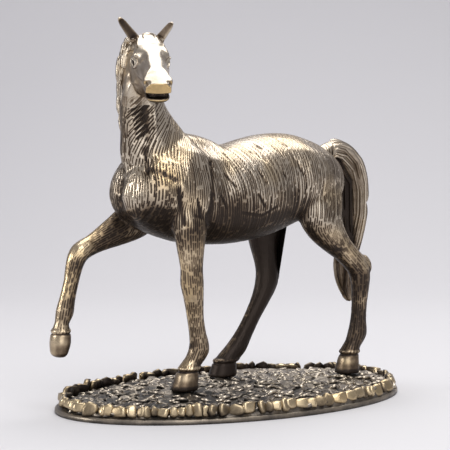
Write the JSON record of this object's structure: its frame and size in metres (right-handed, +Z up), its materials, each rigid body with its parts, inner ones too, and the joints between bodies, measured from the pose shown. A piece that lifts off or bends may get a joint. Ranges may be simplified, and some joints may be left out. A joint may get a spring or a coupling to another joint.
{
  "type": "horse figurine on an oval base",
  "caption": "Cast brass figurine of a walking horse with a raised foreleg and turned head, on an oval base like pebbled ground; stands on a shelf or desk.",
  "frame": {"origin": "middle of the base's flat underside", "axes": "+Z up; the horse walks towards -X, and its left side faces -Y"},
  "size_m": [0.1998, 0.124, 0.1956],
  "materials": {
    "horse_brass": "aged cast brass with chased hair strokes, dark in the cuts and worn bright on the raised forms",
    "base_brass": "dark antique brass, cast as pebbles and chips, with worn golden crests"
  },
  "bodies": {
    "root": {"horse": "horse_brass", "base": "base_brass"}
  },
  "joints": []
}
